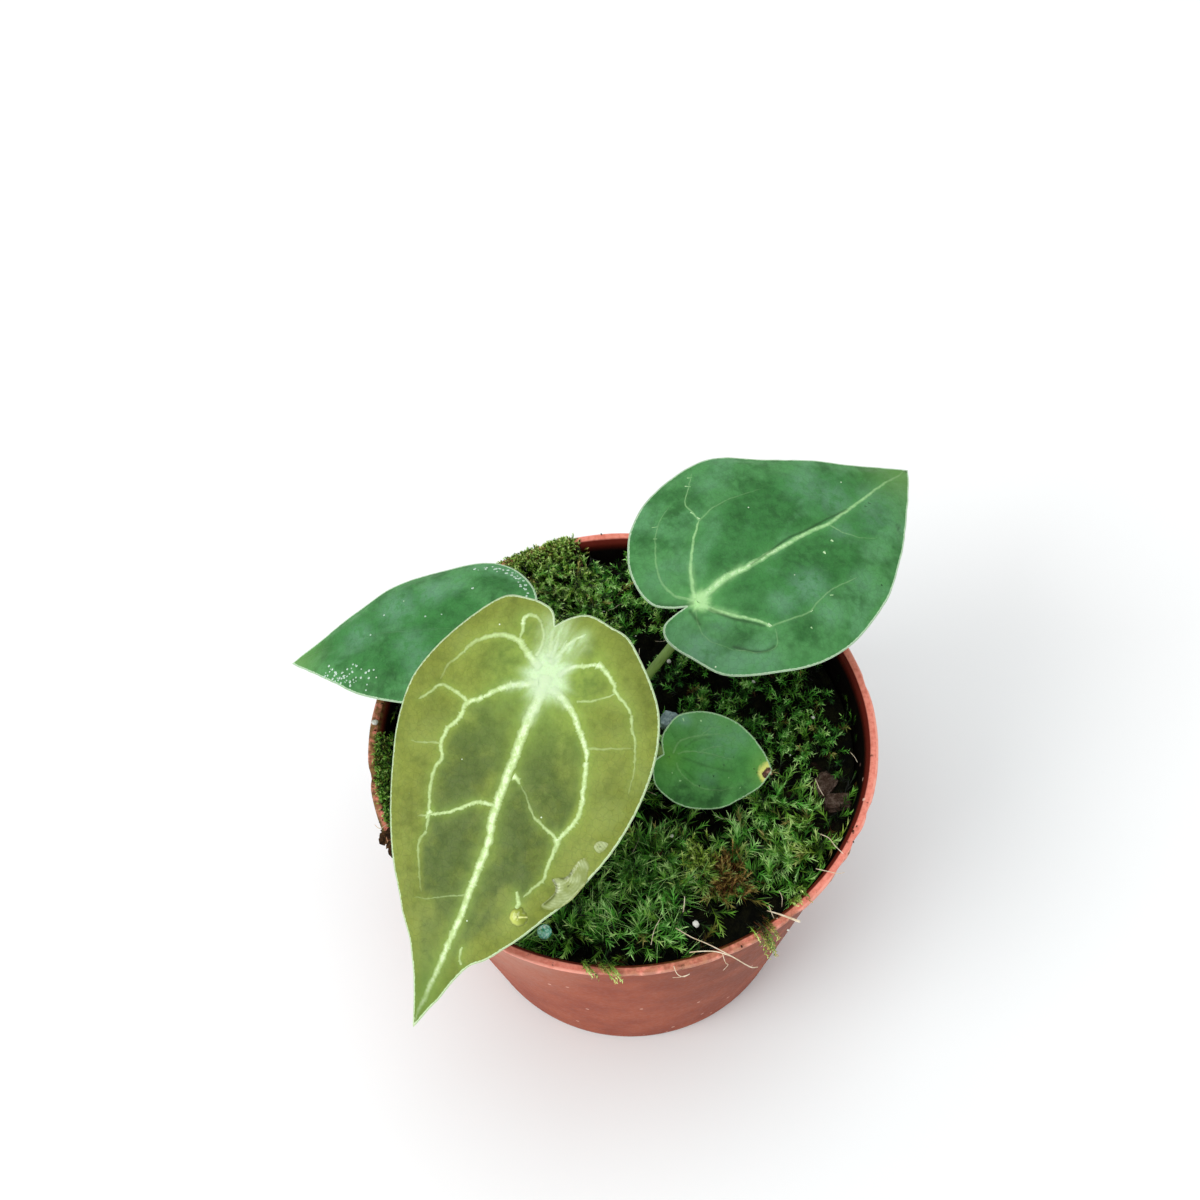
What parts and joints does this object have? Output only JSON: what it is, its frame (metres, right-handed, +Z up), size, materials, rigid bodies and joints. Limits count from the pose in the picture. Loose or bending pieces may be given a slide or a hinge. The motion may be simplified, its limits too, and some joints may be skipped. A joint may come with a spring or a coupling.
{
  "type": "potted anthurium forgetii",
  "caption": "Young velvet-leaf aroid with heart-shaped, pale-veined leaves on short stalks, in a round tapered plastic nursery pot with moss over the soil.",
  "frame": {"origin": "middle of the pot's underside, on the surface that it stands on", "axes": "+Z up along the pot's axis, -Y towards the viewer of the picture, +X to the viewer's right"},
  "size_m": [0.1569, 0.1296, 0.1348],
  "materials": {
    "pot_plastic": "thin terracotta-coloured plastic, slightly satin, dusty, with a paler lip",
    "potting_mix": "dark moist bark and coir crumbs",
    "stem": "short ringed stem and thick pale roots",
    "bract": "dry papery bract",
    "petiole": "smooth pale green stalk",
    "leaf_bronze": "olive-bronze velvety young leaf with glowing pale veins and edge",
    "leaf_green": "deep green velvety leaf with pale veins and edge",
    "leaf_small": "green seedling leaf with a damaged yellow tip",
    "moss": "feathery moss, yellow-green tips over dark gaps",
    "granule": "smooth teal fertiliser granule",
    "pumice": "rough blue-grey crumb",
    "perlite": "white porous crumb",
    "bark": "rough bark chip"
  },
  "bodies": {
    "root": {"pot": "pot_plastic", "substrate": "potting_mix", "stem_with_roots": "stem", "bract": "bract", "petiole_front": "petiole", "petiole_right": "petiole", "petiole_left": "petiole", "petiole_small": "petiole", "blade_front": "leaf_bronze", "blade_right": "leaf_green", "blade_left": "leaf_green", "blade_small": "leaf_small", "moss_front": "moss", "moss_right": "moss", "moss_back": "moss", "moss_left": "moss", "granule_teal": "granule", "pumice_blue": "pumice", "perlite_front": "perlite", "bark_right": "bark", "bark_wall": "bark"}
  },
  "joints": []
}
